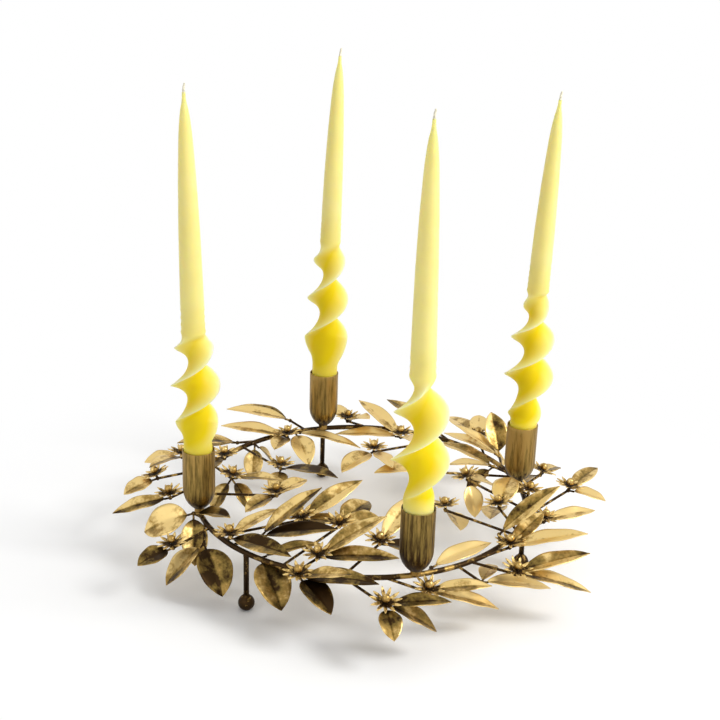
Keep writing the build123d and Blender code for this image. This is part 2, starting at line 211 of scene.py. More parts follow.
def dyed_wax():
    """Paraffin dipped in yellow: light goes into it, so thin edges glow pale and the thick twist
    looks deep. That glow and depth are also painted into its colour, from the painted depth of each point."""
    _, tones = settings()
    made, tree, out = fresh("paraffin_wax_dipped")
    painted_depth = add(tree, "Attribute", attribute_name="painted_depth").outputs["Fac"]
    place = add(tree, "TexCoord").outputs["Object"]
    drift = add(tree, "TexNoise", {"Vector": place, "Scale": per_metre(WAX_CLOUD_MM), "Detail": 2})
    nudge = multiply_add(tree, drift.outputs["Fac"], WAX_DRIFT, -WAX_DRIFT / 2)
    total = add(tree, "Math", {0: painted_depth, 1: nudge}, operation="ADD").outputs[0]
    paint = ramp(
        add(tree, "ValToRGB", {"Fac": total}),
        (0.0, tones.wax_glow), (0.4, tones.wax_pale), (1.0, tones.wax_rich))
    skin = add(tree, "TexNoise", {"Vector": place, "Scale": per_metre(WAX_SKIN_MM), "Detail": 2})
    ripple = add(tree, "Bump", {"Height": skin.outputs["Fac"], "Strength": 0.12, "Distance": 0.3 * MM})
    surface(tree, out, Base_Color=paint.outputs["Color"], Normal=ripple.outputs["Normal"], Roughness=0.45,
            IOR=1.43, Specular_IOR_Level=0.25, Subsurface_Weight=0.7,
            Subsurface_Radius=(1.0, 0.85, 0.25), Subsurface_Scale=6 * MM)
    return made


PLAIT_MM = 1.2  # length of one slanting band of the wick
PLAIT_SHADE = 0.85  # how much darker the gaps between bands are


def waxed_cotton():
    """Braided cotton soaked in wax: an off-white cord with a slanting plait."""
    _, tones = settings()
    made, tree, out = fresh("waxed_cotton_braided")
    place = add(tree, "TexCoord").outputs["Object"]
    plait = add(tree, "TexWave", {"Vector": place, "Scale": per_metre(PLAIT_MM) / tau, "Distortion": 1.5},
                wave_type="BANDS", bands_direction="DIAGONAL")
    paint = ramp(add(tree, "ValToRGB", {"Fac": plait.outputs["Fac"]}),
                 (0.1, [PLAIT_SHADE * c for c in tones.wick]), (0.8, tones.wick))
    ridge = add(tree, "Bump", {"Height": plait.outputs["Fac"], "Strength": 0.5, "Distance": 0.2 * MM})
    surface(tree, out, Base_Color=paint.outputs["Color"], Normal=ridge.outputs["Normal"], Roughness=0.6)
    return made


# Mesh work

def piece(name, points, faces, material, body, nodes, values=None):
    """Make a smooth piece, hang it on its body and let it stand for its nodes."""
    mesh = bpy.data.meshes.new(name)
    mesh.from_pydata([tuple(p) for p in points], [], faces)
    mesh.validate()
    for key, numbers in (values or {}).items():
        mesh.attributes.new(key, "FLOAT", "POINT").data.foreach_set("value", np.asarray(numbers, np.float32))
    mesh.shade_smooth()
    mesh.materials.append(material)
    made = bpy.data.objects.new(name, mesh)
    bpy.context.scene.collection.objects.link(made)
    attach(made, body)
    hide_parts(*nodes)


def paint_node(node, material):
    """Give a node that keeps its solids another material."""
    materials = frame["nodes"][node].data.materials
    materials.clear()
    materials.append(material)


WELD = 0.001 * MM  # points of a solid that are nearer than this are one


def islands(node):
    """The separate solids of a node, as arrays of their points."""
    work = bmesh.new()
    work.from_mesh(frame["nodes"][node].data)
    bmesh.ops.remove_doubles(work, verts=work.verts, dist=WELD)
    left = set(work.verts)
    found = []
    while left:
        edge = [left.pop()]
        group = []
        while edge:
            here = edge.pop()
            group.append(tuple(here.co))
            for link in here.link_edges:
                other = link.other_vert(here)
                if other in left:
                    left.remove(other)
                    edge.append(other)
        found.append(np.array(group))
    work.free()
    return sorted(found, key=lambda group: tuple(group.mean(0).round(5)))


def unit(vector):
    """The same direction, one long."""
    return vector / np.linalg.norm(vector)


def grid_faces(rows, columns, start=0, flip=False, closed=False):
    """Faces of a grid of points, row by row; a closed grid joins its last column to its first."""
    faces = []
    for row in range(rows - 1):
        for column in range(columns if closed else columns - 1):
            nxt = (column + 1) % columns
            a, b = start + row * columns + column, start + row * columns + nxt
            c, d = b + columns, a + columns
            faces.append((a, d, c, b) if flip else (a, b, c, d))
    return faces


def sheet_shell(top, bottom):
    """A closed shell from the two faces of a bent sheet, each an array of rows and columns of points."""
    rows, columns = top.shape[:2]
    count = rows * columns
    points = np.concatenate([top.reshape(-1, 3), bottom.reshape(-1, 3)])
    faces = grid_faces(rows, columns) + grid_faces(rows, columns, count, flip=True)
    rim = [(0, c) for c in range(columns)] + [(r, columns - 1) for r in range(1, rows)]
    rim += [(rows - 1, c) for c in range(columns - 2, -1, -1)] + [(r, 0) for r in range(rows - 2, 0, -1)]
    ring = [r * columns + c for r, c in rim]
    for a, b in zip(ring, ring[1:] + ring[:1]):
        faces.append((b, a, count + a, count + b))
    return points, faces


def gather(parts):
    """Join several sets of points and faces."""
    points, faces, start = [], [], 0
    for part_points, part_faces in parts:
        points.append(part_points)
        faces += [tuple(i + start for i in face) for face in part_faces]
        start += len(part_points)
    return np.concatenate(points), faces


def capped_tube(rings, about, foot, tip):
    """A closed tube from rings of points, one after the other, with a point at its foot and its tip."""
    points = [*rings, foot, tip]
    rows = len(rings) // about
    faces = grid_faces(rows, about, closed=True)
    low, high, top = len(rings), len(rings) + 1, (rows - 1) * about
    for k in range(about):
        m = (k + 1) % about
        faces.append((low, m, k))
        faces.append((high, top + k, top + m))
    return points, faces


# How quickly the dents of a turned piece change round it, along it and from piece to piece
DENT_AROUND, DENT_ALONG, DENT_APART = 3, 60, 40


def turned(profile, centre, segments, wobble=0.0):
    """A turned piece about an upright axis, from a closed profile of radius and height; a radius of
    nought is a pole."""
    angles = np.arange(segments) * tau / segments
    points, faces, rows = [], [], []
    for radius, height in profile:
        if radius == 0:
            rows.append([len(points)])
            points.append((centre[0], centre[1], centre[2] + height))
            continue
        rows.append(list(range(len(points), len(points) + segments)))
        for angle in angles:
            where = Vector((DENT_AROUND * cos(angle), DENT_AROUND * sin(angle), height * DENT_ALONG))
            dent = wobble * noise.noise(where + Vector(centre) * DENT_APART)
            points.append((centre[0] + (radius + dent) * cos(angle), centre[1] + (radius + dent) * sin(angle),
                           centre[2] + height))
    for low, high in zip(rows, rows[1:]):
        for i in range(segments):
            j = (i + 1) % segments
            if len(low) == 1:
                faces.append((low[0], high[j], high[i]))
            elif len(high) == 1:
                faces.append((low[i], low[j], high[0]))
            else:
                faces.append((low[i], low[j], high[j], high[i]))
    return np.array(points), faces


# Leaves

LEAF_BELLY = 0.42  # share of the length where a leaf is widest
LEAF_TAIL = 1.2 * MM  # half width where the wire is soldered on
LEAF_POINT = 0.12 * MM  # half width at the tip
LEAF_END = 0.6 * MM  # points this near to an end of the solid show its width there
LEAF_ROWS, LEAF_COLUMNS = 27, 13
FOLD_GAIN = 1.25  # how much steeper the crease is than that of the solid
EDGE_LAG = 0.8  # how far the two edges wave out of step
CURL_START = 0.6  # share of the length where the tip starts to curl
CURL_GAIN = 2  # how steeply it curls from there
LEAF_WAVES = (1.2, 2.2)  # waves along an edge, least and most
LEAF_CURL = (-0.5, 0.7)  # curl of the tip, least and most
LEAF_TONE = 0.5  # how far leaves differ in tone
HALF_PAINTED_SHADE = 0.3  # how far the two halves of a leaf differ in tone: painted light and shade, one half of the crease lighter and the other darker
EDGE_THINNING = 0.45  # share of the sheet that is rubbed off at the edges
# Painted light on each spray: how much lighter or darker its leaves are painted for the light on that side,
# from dark below nought to bright above
SPRAY_PAINTED_LIGHT = {"left": -0.15, "front": 0.4, "right": 0.3, "back": 0.05}


def leaf_form(points):
    """Where a leaf lies: its tail, its frame, its length and width, and the bow and fold of its sheet."""
    middle = points.mean(0)
    axes = np.linalg.svd(points - middle, full_matrices=False)[2]
    run = (points - middle) @ axes[0]
    ends = [points[run < run.min() + LEAF_END], points[run > run.max() - LEAF_END]]
    if np.ptp(ends[0] @ axes[1]) < np.ptp(ends[1] @ axes[1]):
        ends.reverse()
    tail, tip = (end.mean(0) for end in ends)
    along = unit(tip - tail)
    across = unit(axes[1] - along * (axes[1] @ along))
    upward = np.cross(along, across)
    reach = np.linalg.norm(tip - tail)

    def fit(up):
        place = (points - tail) @ along / reach
        beside = np.abs((points - tail) @ across)
        columns = np.stack([np.ones_like(place), place, place**2, beside], 1)
        return np.linalg.lstsq(columns, (points - tail) @ up, rcond=None)[0]

    if fit(upward)[3] < 0:
        across, upward = -across, -upward
    width = np.ptp((points - tail) @ across)
    return tail, along, across, upward, reach, width, fit(upward)


def leaf_half_width(place, reach, width):
    """Half the width of a leaf at a share of its length: two arcs that meet at its widest."""
    x, belly, half = place * reach, LEAF_BELLY * reach, width / 2
    if x > belly:
        radius = ((reach - belly) ** 2 + half**2) / width
        return max(half - radius + sqrt(max(radius**2 - (x - belly) ** 2, 0)), LEAF_POINT)
    drop = half - LEAF_TAIL
    radius = (belly**2 + drop**2) / (2 * drop)
    return half - radius + sqrt(radius**2 - (belly - x) ** 2)


def stamped_leaf(points, luck, side_light):
    """A leaf of creased sheet in the place of its solid, with its edges waved a little by hand."""
    sizes, _ = settings()
    tail, along, across, upward, reach, width, (level, slope, curve, fold) = leaf_form(points)
    phase, waves, curl = luck.uniform(0, tau), luck.uniform(*LEAF_WAVES), luck.uniform(*LEAF_CURL)
    crease = sizes.leaf_crease / 2
    faces_of = []
    for side in (1, -1):
        rows = []
        for place in np.linspace(0, 1, LEAF_ROWS):
            half = leaf_half_width(place, reach, width)
            row = []
            for share in np.linspace(-1, 1, LEAF_COLUMNS):
                beside = share * half
                lift = level + slope * place + curve * place**2
                lift += FOLD_GAIN * fold * (sqrt(beside**2 + crease**2) - crease)
                swell = sin(pi * place) * share * share
                lag = EDGE_LAG if share > 0 else 0
                lift += sizes.leaf_wave * swell * sin(waves * tau * place + phase + lag)
                lift += curl * MM * max(place - CURL_START, 0) * CURL_GAIN
                thick = sizes.leaf_sheet / 2 * (1 - EDGE_THINNING * share**4)
                row.append(tail + along * (place * reach) + across * beside + upward * (lift + side * thick))
            rows.append(row)
        faces_of.append(np.array(rows))
    shell = sheet_shell(*faces_of)
    places = np.repeat(np.linspace(0, 1, LEAF_ROWS), LEAF_COLUMNS)
    shares = np.tile(np.linspace(-1, 1, LEAF_COLUMNS), LEAF_ROWS)
    # Lighter rims, partly rubbed brass and partly a painted highlight; darker along the crease and towards
    # the tail
    bright_edge = 0.3 * np.abs(shares) ** 6
    dark_crease = 0.3 * np.exp(-(shares / 0.08) ** 2)
    dark_tail = 0.4 * np.exp(-places / 0.12)
    painted_sheen_tone = bright_edge - dark_crease - dark_tail
    # Painted light for the spray, a random tone for the leaf, painted light and shade on its two halves, and
    # the marks above
    tone = side_light + luck.uniform(-LEAF_TONE, LEAF_TONE)
    tone = tone + luck.uniform(-HALF_PAINTED_SHADE, HALF_PAINTED_SHADE) * np.sign(shares) + painted_sheen_tone
    return shell, np.tile(tone, 2)


class HOLDER_OT_leaves(bpy.types.Operator):
    """Stamp every leaf of the four sprays"""
    bl_idname = "holder.leaves"
    bl_label = "Leaves"

    def execute(self, context):
        sizes, tones = settings()
        luck = np.random.default_rng(sizes.seed)
        brass = aged_brass(
            "aged_brass_sheet_stamped", tones.brass_bright, tones.brass_olive, 12, 0.34, "tone", shift=-0.02)
        for side in SIDES:
            for kind in ("lance_leaves", "oval_leaves"):
                node = f"{side}_{kind}"
                made = [stamped_leaf(points, luck, SPRAY_PAINTED_LIGHT[side]) for points in islands(node)]
                points, faces = gather([shell for shell, _ in made])
                tone = np.concatenate([value for _, value in made])
                piece(f"{node}_stamped", points, faces, brass, HOLDER, [node], {"tone": tone})
        return {"FINISHED"}


# Blossoms and beads

PETAL_ROWS, PETAL_COLUMNS = 9, 5
PETALS = 11
PETAL_GAIN = 1.12  # how far petals reach past those of the solid
PETAL_START = 0.1  # share of the radius where a petal starts
PETAL_BELLY = 0.6  # share of its length where a petal is widest
PETAL_POINT = 0.88  # share of its width that a petal loses at the tip
PETAL_CURVE = 1.6  # how late it loses it
PETAL_RISE = 0.5  # how flat petals lie against those of the solid
PETAL_CHANNEL = 0.5 * MM  # depth of the channel along a petal
PETAL_STRAY = 0.06  # how far a petal turns from its place, in radians
PETAL_BEND = (-0.9, 1.1)  # how far its tip is bent, least and most, in millimetres
PETAL_TONES = (-0.6, 0.5)  # tone at the middle of the blossom and at the tips: darker towards the middle, and lighter tips that are a painted highlight


def blossom_form(points):
    """Where a blossom lies: its middle, its frame, its radius, and how its petals rise."""
    middle = points.mean(0)
    first, second, facing = np.linalg.svd(points - middle, full_matrices=False)[2]

    def fit(up):
        out = np.hypot((points - middle) @ first, (points - middle) @ second)
        columns = np.stack([np.ones_like(out), out**2], 1)
        return np.linalg.lstsq(columns, (points - middle) @ up, rcond=None)[0]

    if fit(facing)[1] < 0:
        facing = -facing
    second = np.cross(facing, first)
    out = np.hypot((points - middle) @ first, (points - middle) @ second)
    farthest = points[out.argmax()] - middle
    turn = np.arctan2(farthest @ second, farthest @ first)
    return middle, first, second, facing, out.max(), turn, fit(facing)


def star_blossom(points, luck):
    """A blossom of thin sheet: eleven channelled petals with pointed ends, each bent by hand."""
    sizes, _ = settings()
    middle, first, second, facing, radius, turn, (level, rise) = blossom_form(points)
    shells, painted_sheen_tone = [], []
    for number in range(PETALS):
        angle = turn + tau * number / PETALS + luck.uniform(-PETAL_STRAY, PETAL_STRAY)
        out = first * cos(angle) + second * sin(angle)
        beside = np.cross(facing, out)
        bent = luck.uniform(*PETAL_BEND)
        tops = []
        for side in (1, -1):
            rows = []
            for place in np.linspace(0, 1, PETAL_ROWS):
                away = PETAL_GAIN * radius * (PETAL_START + (1 - PETAL_START) * place)
                half = 0.5 + 0.5 * sin(pi * min(place, PETAL_BELLY) / (2 * PETAL_BELLY))
                past_belly = max(place - PETAL_BELLY, 0) / (1 - PETAL_BELLY)
                half *= sizes.petal_width / 2 * (1 - PETAL_POINT * past_belly**PETAL_CURVE)
                row = []
                for share in np.linspace(-1, 1, PETAL_COLUMNS):
                    lift = level + PETAL_RISE * rise * away**2 + bent * MM * place**3
                    lift += PETAL_CHANNEL * sin(pi * place) * share * share
                    row.append(middle + out * away + beside * (share * half)
                               + facing * (lift + side * sizes.petal_sheet / 2))
                rows.append(row)
            tops.append(np.array(rows))
        shells.append(sheet_shell(*tops))
        # Tone by row: darker at the middle of the blossom and a painted highlight at the tips
        painted_sheen_tone.append(np.tile(np.repeat(np.linspace(*PETAL_TONES, PETAL_ROWS), PETAL_COLUMNS), 2))
    return gather(shells), np.concatenate(painted_sheen_tone)


class HOLDER_OT_blossoms(bpy.types.Operator):
    """Cut and bend the star blossoms and paint the bead in each"""
    bl_idname = "holder.blossoms"
    bl_label = "Blossoms"

    def execute(self, context):
        sizes, tones = settings()
        luck = np.random.default_rng(sizes.seed + 1)
        petal = aged_brass("aged_brass_sheet_cut", tones.brass_bright, tones.patina, 4, 0.40, "painted_sheen_tone")
        bead = aged_brass("aged_brass_bead_turned", tones.brass_bright, tones.brass_aged, 5, 0.30)
        for side in SIDES:
            node = f"{side}_blossoms"
            made = [star_blossom(points, luck) for points in islands(node)]
            points, faces = gather([shell for shell, _ in made])
            painted_sheen_tone = np.concatenate([value for _, value in made])
            piece(f"{node}_cut", points, faces, petal, HOLDER, [node], {"painted_sheen_tone": painted_sheen_tone})
            paint_node(f"{side}_blossom_beads", bead)
        return {"FINISHED"}


# Ring, wires, legs and cups

def middle_of(node):
    """The middle of a node's box, and its lowest and highest corners."""
    low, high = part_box(node)
    return (low + high) / 2, low, high


RING_AROUND, RING_ABOUT = 240, 16  # points round the ring and about its rod
HAMMER_DEPTH = 0.12 * MM
HAMMER_AROUND, HAMMER_ABOUT = 12, 2  # how quickly the hammered skin changes both ways


class HOLDER_OT_ring(bpy.types.Operator):
    """Bend the ring and finish the soldered wires"""
    bl_idname = "holder.ring"
    bl_label = "Ring and wires"

    def execute(self, context):
        _, tones = settings()
        rod = aged_brass("aged_brass_rod_bent", tones.brass_aged, tones.patina, 14, 0.40, shift=-0.10)
        wire = aged_brass("aged_brass_wire_soldered", tones.brass_aged, tones.patina, 6, 0.42, shift=-0.11)
        middle, low, high = middle_of("ring_rod")
        thick = (high.z - low.z) / 2
        sweep = (high.x - low.x) / 2 - thick
        points, faces = [], []
        for i in range(RING_AROUND):
            turn = tau * i / RING_AROUND
            for j in range(RING_ABOUT):
                roll = tau * j / RING_ABOUT
                where = (HAMMER_AROUND * cos(turn), HAMMER_AROUND * sin(turn), HAMMER_ABOUT * cos(roll))
                hammered = HAMMER_DEPTH * noise.noise(Vector(where))
                out = sweep + (thick + hammered) * cos(roll)
                points.append((middle.x + out * cos(turn), middle.y + out * sin(turn),
                               middle.z + (thick + hammered) * sin(roll)))
                here, ahead = i * RING_ABOUT, (i + 1) % RING_AROUND * RING_ABOUT
                k = (j + 1) % RING_ABOUT
                faces.append((here + j, ahead + j, ahead + k, here + k))
        piece("ring_rod_bent", points, faces, rod, HOLDER, ["ring_rod"])
        for side in SIDES:
            paint_node(f"{side}_twigs", wire)
        return {"FINISHED"}


FOOT_ROWS = 18  # rows of points from the floor to the top of a ball
FOOT_FLAT = 0.7  # share of the ground flat that lies inside its soft edge
LEG_IN_BALL = 2 * MM  # how far a leg is drawn down inside its ball
LEG_SHORT = 0.2 * MM  # how far its end stays under the middle of the ring


class HOLDER_OT_legs(bpy.types.Operator):
    """Turn the legs and their ball feet"""
    bl_idname = "holder.legs"
    bl_label = "Legs and feet"

    def execute(self, context):
        sizes, tones = settings()
        dark = aged_brass("aged_brass_rod_drawn", tones.brass_aged, tones.patina, 7, 0.42, shift=-0.16)
        ball = aged_brass("aged_brass_ball_cast", tones.brass_aged, tones.patina, 6, 0.44, shift=-0.16)
        ring_middle, ring_low, _ = middle_of("ring_rod")
        for side in LEG_SIDES:
            _, low, high = middle_of(f"{side}_leg_rod")
            thick = (high.x - low.x) / 2
            ball_middle, floor, crown = middle_of(f"{side}_ball_foot")
            radius = (crown.x - floor.x) / 2
            centre = crown.z - sqrt(radius**2 - thick**2)
            flat = sqrt(max(radius**2 - (centre - floor.z) ** 2, 0))
            start = np.arcsin((floor.z - centre) / radius)
            end = np.arccos((thick + sizes.solder) / radius)
            arc = [(radius * cos(t), centre + radius * sin(t)) for t in np.linspace(start, end, FOOT_ROWS)]
            fillet, joint = 0.4 * sizes.solder, crown.z + sizes.solder
            collar = [(thick + fillet, crown.z + fillet), (thick, joint), (0, joint)]
            foot = [(0, floor.z), (FOOT_FLAT * flat, floor.z), *arc, *collar]
            axis = (ball_middle.x, ball_middle.y, 0)
            points, faces = turned(foot, axis, 40)
            piece(f"{side}_ball_foot_cast", points, faces, ball, HOLDER,
                  [f"{side}_ball_foot"])
            hidden, top = crown.z - LEG_IN_BALL, ring_middle.z - LEG_SHORT
            flare = [(0, hidden), (thick, hidden), (thick, ring_low.z - sizes.solder),
                     (1.12 * thick, ring_low.z - 0.3 * sizes.solder), (1.05 * thick, top), (0, top)]
            points, faces = turned(flare, axis, 32, wobble=0.06 * MM)
            piece(f"{side}_leg_rod_drawn", points, faces, dark, HOLDER, [f"{side}_leg_rod"])
        return {"FINISHED"}


CUP_NOSE = 16 * MM  # height of the rounded end
CUP_LIP = 0.3 * MM  # height over which the rim is rounded
CUP_TONES = (-0.55, -0.16, -0.02)  # tone at the foot, where the nose ends and at the rim: painted shade, darker low on the cup
# The waist of a neck, in shares of its radius and height
NECK_WAIST = ((1, 0), (0.92, 0.3), (0.9, 0.6), (0.98, 0.9), (1, 1))
# Painted light on each cup: how much lighter or darker it is painted for how light and reflections fall on
# its side
CUP_PAINTED_LIGHT = {"left": -0.06, "front": -0.2, "right": 0.08, "back": 0.0}


def cup_profile(sizes, radius, foot, height):
    """The outline of a spun cup: up the outside, over a soft rim and down inside."""
    inward = radius - foot
    bend = (inward**2 + CUP_NOSE**2) / (2 * inward)
    outside = [(radius - bend + sqrt(bend**2 - (CUP_NOSE - z) ** 2), z) for z in np.linspace(0, CUP_NOSE, 12)]
    wall, lip, soft = sizes.cup_wall, height - CUP_LIP, height - 0.05 * MM
    outside += [(radius, z) for z in np.linspace(CUP_NOSE, lip, 8)[1:]]
    rim = [(radius - 0.15 * wall, soft), (radius - 0.5 * wall, height), (radius - 0.85 * wall, soft)]
    inside = [(radius - wall, z) for z in np.linspace(lip, CUP_NOSE, 4)]
    inside += [(r - wall, z) for r, z in reversed(outside[2:11])]
    return [(0, 0), *outside, *rim, *inside, (0, inside[-1][1])]


class HOLDER_OT_cups(bpy.types.Operator):
    """Spin the candle cups and set them on their necks"""
    bl_idname = "holder.cups"
    bl_label = "Candle cups"

    def execute(self, context):
        sizes, tones = settings()
        spun = aged_brass(
            "aged_brass_cup_spun_brushed", tones.brass_aged, tones.brass_olive, 2, 0.36, "tone",
            drawn=12, shift=-0.03, cloudy=0.6)
        dark = aged_brass("aged_brass_neck_turned", tones.brass_aged, tones.patina, 6, 0.44)
        for side in SIDES:
            middle, low, high = middle_of(f"{side}_candle_cup")
            neck_middle, neck_low, neck_high = middle_of(f"{side}_cup_neck")
            foot = (neck_high.x - neck_low.x) / 2
            height = high.z - low.z
            profile = cup_profile(sizes, (high.x - low.x) / 2, foot, height)
            points, faces = turned(profile, (middle.x, middle.y, low.z), 72, wobble=0.12 * MM)
            # Painted shade low on the cup, and painted light for its side
            tone = np.interp(points[:, 2] - low.z, (0, CUP_NOSE, height), CUP_TONES) + CUP_PAINTED_LIGHT[side]
            piece(f"{side}_candle_cup_spun", points, faces, spun, HOLDER, [f"{side}_candle_cup"],
                  {"tone": tone})
            tall = neck_high.z - neck_low.z
            waist = [(0, 0), *((r * foot, z * tall) for r, z in NECK_WAIST), (0, tall)]
            points, faces = turned(waist, (neck_middle.x, neck_middle.y, neck_low.z), 40)
            piece(f"{side}_cup_neck_turned", points, faces, dark, HOLDER,
                  [f"{side}_cup_neck"])
        return {"FINISHED"}


# Candles

HEADING = radians(164)  # the blade lies this way where it is seen square on
# Where each candle's blade is seen square on, in millimetres over the rim of the cup, and its full width
# there; then where its straight part starts
TWISTS = {
    "left": (((24.7, 31), (52.6, 36), (82, 28)), 92),
    "front": (((38.7, 40), (73.5, 37)), 97),
    "right": (((13, 26), (45, 38), (76, 33), (102, 19)), 110),
    "back": (((35, 36), (69, 34), (102.6, 26)), 116),
}
# Diameters of the straight part, by millimetres below its tip
TAPER = ((0, 2.3), (4, 2.7), (7, 3.5), (10, 4.9), (14, 6.4), (20, 7.8), (30, 9.6), (60, 12.7),
         (95, 15), (178, 18), (260, 19))
BLADE_ROOT = 3.0  # millimetres over the rim where the round foot starts to flatten
FLARE_BELOW = 36.0  # a lowest lobe that is square on below this flares straight from the rim
FLARE_TURN = -0.3  # half turns from the rim to that lobe
BLADE_THIN = 9.2  # millimetres, the blade's thickness high in the twist
BLADE_THICK = 14.0  # its thickness at the lowest waist
WAIST_BELOW = 16  # how far under its lowest lobe that waist is
WAIST_BELOW_FLARE = 4  # the same for a lobe that flares from the rim
LOBE_FULL = 14  # millimetres that a full lobe is wider than it is thick
LOBE_FLATTENING = 0.85  # how flat the sides of a full lobe are pressed
LOBE_SKEW = 1.6  # millimetres that its two edges are bent apart
LOBE_DROOP = 2.2 * MM  # how far its edges hang
END_DEPTHS = (0.6, 0.3)  # painted depth of colour, for light through the wax, at the middle of the foot and at the tip
CANDLE_ABOUT = 56  # points about a candle
TIP_LENGTH = 12 * MM  # the end with closer rows
FOOT_LAYER = 0.05 * MM  # points of the solid this near to its lowest are its foot
# How far each candle's tip bends aside, in millimetres, and which way
BOWS = {"left": 0.0, "front": 1.8, "right": 1.0, "back": 1.2}
BOW_WAY = np.array([0.96, -0.27, 0.0])


def smooth_line(x, knots):
    """A smooth curve through knots, level at both ends."""
    xs, ys = zip(*knots)
    if x <= xs[0]:
        return ys[0]
    for (x0, y0), (x1, y1) in zip(knots, knots[1:]):
        if x <= x1:
            t = (x - x0) / (x1 - x0)
            return y0 + (y1 - y0) * t * t * (3 - 2 * t)
    return ys[-1]


def candle_form(side):
    """A candle's foot, axis and length, how far up its axis the rim of its cup is, and the radius of
    its foot."""
    axis = unit(next(np.array(j["axis"], float) for j in frame["joints"] if j["child"] == f"{side}_taper"))
    points = np.array([v.co for v in frame["nodes"][f"{side}_candle"].data.vertices])
    along = points @ axis
    foot = points[along < along.min() + FOOT_LAYER]
    base = (foot.min(0) + foot.max(0)) / 2
    rim = (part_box(f"{side}_candle_cup")[1].z - base[2]) / axis[2]
    radius = np.linalg.norm(np.ptp(foot, 0)[:2]) / (2 * sqrt(2))
    return base, axis, np.ptp(along), rim, radius


def across_axis(axis):
    """Two directions square to a candle's axis."""
    east = unit(np.array([axis[2], 0, -axis[0]]))
    return east, np.cross(axis, east)


def bowed(side, height, tall, rim):
    """How far a candle's axis is bent aside at a height along it."""
    start = rim + TWISTS[side][1] * MM
    share = max(height - start, 0) / (tall - start)
    return BOW_WAY * (BOWS[side] * MM * share**2)


def twisted_taper(side):
    """A taper dipped round, then rolled flat while warm and twisted by hand."""
    base, axis, tall, rim, foot = candle_form(side)
    east, north = across_axis(axis)
    square, straight = TWISTS[side]
    heights = [h for h, _ in square]
    lowest, last = heights[0], heights[-1]
    step = (last - lowest) / (len(heights) - 1)
    flares = lowest < FLARE_BELOW
    start = (0, FLARE_TURN) if flares else (lowest - step, -1)
    turns = [start, *((h, i) for i, h in enumerate(heights)), (last + step, len(heights))]
    round_foot = 2 * foot / MM
    stem = smooth_line(tall / MM - rim / MM - straight, TAPER)
    root = 0 if flares else BLADE_ROOT
    # Painted light through the wax: a foot that flares from the rim is painted deeper
    low_depth = 0.85 if flares else 0.5
    widths = [(root, round_foot), *square, (straight, stem)]
    waist = lowest - (WAIST_BELOW_FLARE if flares else WAIST_BELOW)
    thins = sorted([(root, round_foot), (waist, BLADE_THICK), (last - 10, BLADE_THIN),
                    (max(last + 4, straight - 10), BLADE_THIN + 1), (straight, stem)])
    bends, tip = rim + straight * MM, tall - TIP_LENGTH
    rows = np.concatenate([np.linspace(0, rim, 6)[:-1], np.linspace(rim, bends, 96)[:-1],
                           np.linspace(bends, tip, 30)[:-1], np.linspace(tip, tall, 10)])
    rings, painted_depth = [], []
    for h in rows:
        over = (h - rim) / MM
        below = (tall - h) / MM
        if over > straight:
            wide = thin = np.interp(below, *zip(*TAPER))
        elif over < root:
            wide = thin = round_foot
        else:
            wide, thin = smooth_line(over, widths), smooth_line(over, thins)
        turn = HEADING + pi * np.interp(over, *zip(*turns))
        flat = min(max((wide - thin) / LOBE_FULL, 0), 1)
        # Painted depth by height: deeper low in the thick twist and paler up the thin taper, for light
        # through the wax
        deep = np.interp(over, (0, 12, straight - 14, straight + 22), (low_depth, 0.9, 0.6, 0.4))
        middle = base + bowed(side, h, tall, rim)
        for k in range(CANDLE_ABOUT):
            a = tau * k / CANDLE_ABOUT
            x = cos(a)
            y = sin(a) * abs(sin(a)) ** (LOBE_FLATTENING * flat)
            u, v = x * wide / 2 * MM, (y * thin / 2 + LOBE_SKEW * flat * x * abs(x)) * MM
            level = h - LOBE_DROOP * flat * x * x
            rings.append(middle + axis * level + east * (u * cos(turn) - v * sin(turn))
                         + north * (u * sin(turn) + v * cos(turn)))
            # Painted glow at the thin edges of each lobe and a deeper core where the wax is thick
            painted_depth.append(deep + flat * (0.35 * (1 - abs(x)) - 0.6 * abs(x) ** 5))
    end = base + bowed(side, tall, tall, rim) + axis * tall
    points, faces = capped_tube(rings, CANDLE_ABOUT, base, end)
    return points, faces, [*painted_depth, *END_DEPTHS]


class HOLDER_OT_candles(bpy.types.Operator):
    """Dip and twist the taper candles"""
    bl_idname = "holder.candles"
    bl_label = "Candles"

    def execute(self, context):
        wax = dyed_wax()
        for side in SIDES:
            points, faces, painted_depth = twisted_taper(side)
            piece(f"{side}_candle_twisted", points, faces, wax, f"{side}_taper",
                  [f"{side}_candle"], {"painted_depth": painted_depth})
        return {"FINISHED"}


WICK_ROWS, WICK_ABOUT = 22, 18
WICK_IN_WAX = 4 * MM  # length that is drawn inside the wax
WICK_RADIUS = 0.9 * MM
WICK_TAPER = 0.35  # share of the radius that is lost at the end
WICK_LEAN = 0.8 * MM  # how far the end leans aside
STRANDS = 3
STRAND_DEPTH = 0.14  # share of the radius
STRAND_TURN = 2600  # radians in a metre of wick


